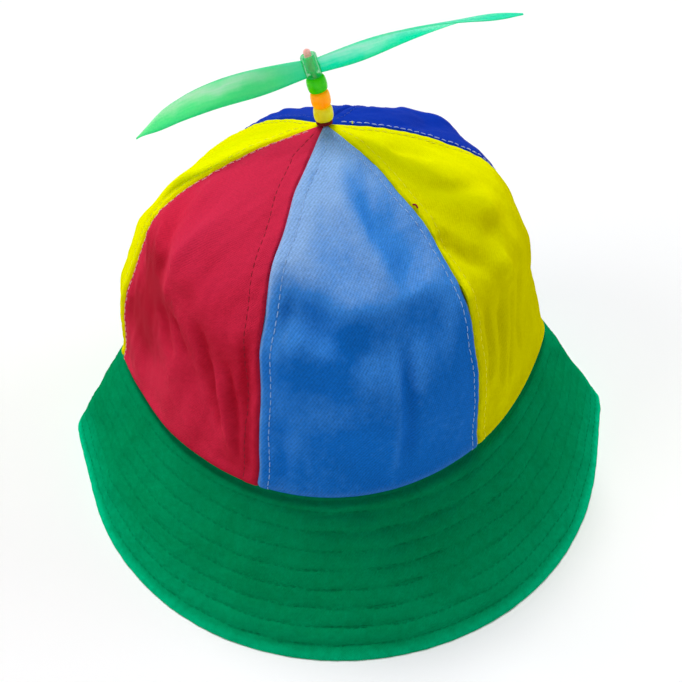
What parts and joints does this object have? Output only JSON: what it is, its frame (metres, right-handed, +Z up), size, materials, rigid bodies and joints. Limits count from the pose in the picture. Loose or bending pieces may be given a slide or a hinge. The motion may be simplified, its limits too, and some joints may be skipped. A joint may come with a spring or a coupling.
{
  "type": "brimmed propeller hat",
  "caption": "Soft cotton hat with a domed crown of coloured panels, a sloping quilted brim, and a translucent propeller that spins on a cord above round beads.",
  "frame": {"origin": "bottom centre of the whole hat, on the plane that its brim lies on", "axes": "+Z up, +Y towards the back of the hat, which is its longest way, +X to the right of someone facing the front panel, that is towards the right of the picture"},
  "size_m": [0.2664, 0.2822, 0.2044],
  "materials": {
    "twill_sky_blue": "matt cotton twill",
    "twill_red": "matt cotton twill",
    "twill_yellow": "matt cotton twill",
    "twill_royal_blue": "matt cotton twill",
    "twill_green": "matt cotton twill, quilted in rows",
    "bead_yellow": "smooth",
    "bead_orange": "smooth",
    "bead_green": "smooth",
    "cord": "braided cord",
    "propeller_plastic": "translucent"
  },
  "bodies": {
    "hat": {"crown_panel_sky_blue": "twill_sky_blue", "crown_panel_red": "twill_red", "crown_panel_yellow_left": "twill_yellow", "crown_panel_yellow_right": "twill_yellow", "crown_panel_royal_blue_back": "twill_royal_blue", "crown_panel_royal_blue_right": "twill_royal_blue", "brim": "twill_green", "post": "cord", "bead_yellow": "bead_yellow", "bead_orange": "bead_orange", "bead_green": "bead_green"},
    "propeller": {"propeller": "propeller_plastic"}
  },
  "joints": [
    {"name": "propeller_spin", "type": "hinge", "parent": "hat", "child": "propeller", "pos_m": [-0.00216, 0.00034, 0.17985], "axis": [-0.2419, 0, 0.9703], "continuous": true}
  ]
}
